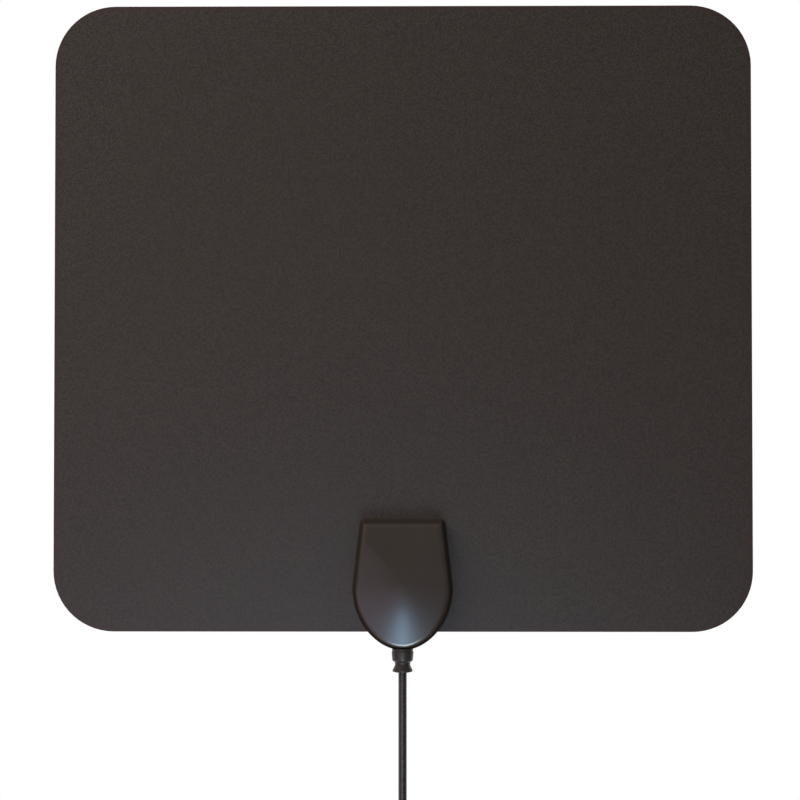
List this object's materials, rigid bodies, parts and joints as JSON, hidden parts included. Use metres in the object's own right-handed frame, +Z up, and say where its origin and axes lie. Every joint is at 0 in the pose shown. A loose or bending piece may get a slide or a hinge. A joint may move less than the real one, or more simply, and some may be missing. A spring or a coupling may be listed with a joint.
{
  "type": "tv antenna",
  "caption": "Flat indoor TV antenna: a thin rounded panel with foil radiators, a small clamped housing at its lower edge and a coaxial lead with a push-fit plug.",
  "frame": {"origin": "on the wall plane, which is the flat back of the housing, on the centre line and level with the panel's lower edge", "axes": "+X across the panel, +Z up, -Y out of the wall towards the viewer"},
  "size_m": [0.334, 0.0249, 0.479],
  "materials": {
    "panel_film": "fine-grained matt charcoal film",
    "foil": "rolled foil",
    "case_plastic": "satin moulded black plastic",
    "screw_steel": "zinc-plated steel",
    "board": "green solder mask",
    "brass": "bright brass",
    "ferrite": "sintered, dull",
    "copper_wire": "enamelled copper",
    "chip_ceramic": "fired",
    "solder": "bright tin",
    "boot_rubber": "soft black PVC",
    "cable_jacket": "smooth black PVC jacket",
    "dielectric": "white polyethylene",
    "tie_fabric": "woven hook-and-loop strap",
    "nickel": "nickel plate"
  },
  "bodies": {
    "root": {"front_film": "panel_film", "back_film": "panel_film", "left_element": "foil", "right_element": "foil", "front_cover": "case_plastic", "back_cover": "case_plastic", "cover_screws": "screw_steel", "circuit_board": "board", "foil_eyelets": "brass", "transformer_core": "ferrite", "primary_winding": "copper_wire", "secondary_winding": "copper_wire", "chip_capacitors": "chip_ceramic", "solder_joints": "solder", "strain_relief": "boot_rubber", "cable_end": "cable_jacket", "cable_core": "dielectric", "centre_conductor": "copper_wire", "braid_tail": "copper_wire", "cable_lead": "cable_jacket", "cable_coil": "cable_jacket", "cable_tail": "cable_jacket", "coil_tie": "tie_fabric", "plug_grip": "boot_rubber", "plug_shell": "nickel", "plug_insulator": "dielectric", "plug_pin": "nickel"}
  },
  "joints": []
}
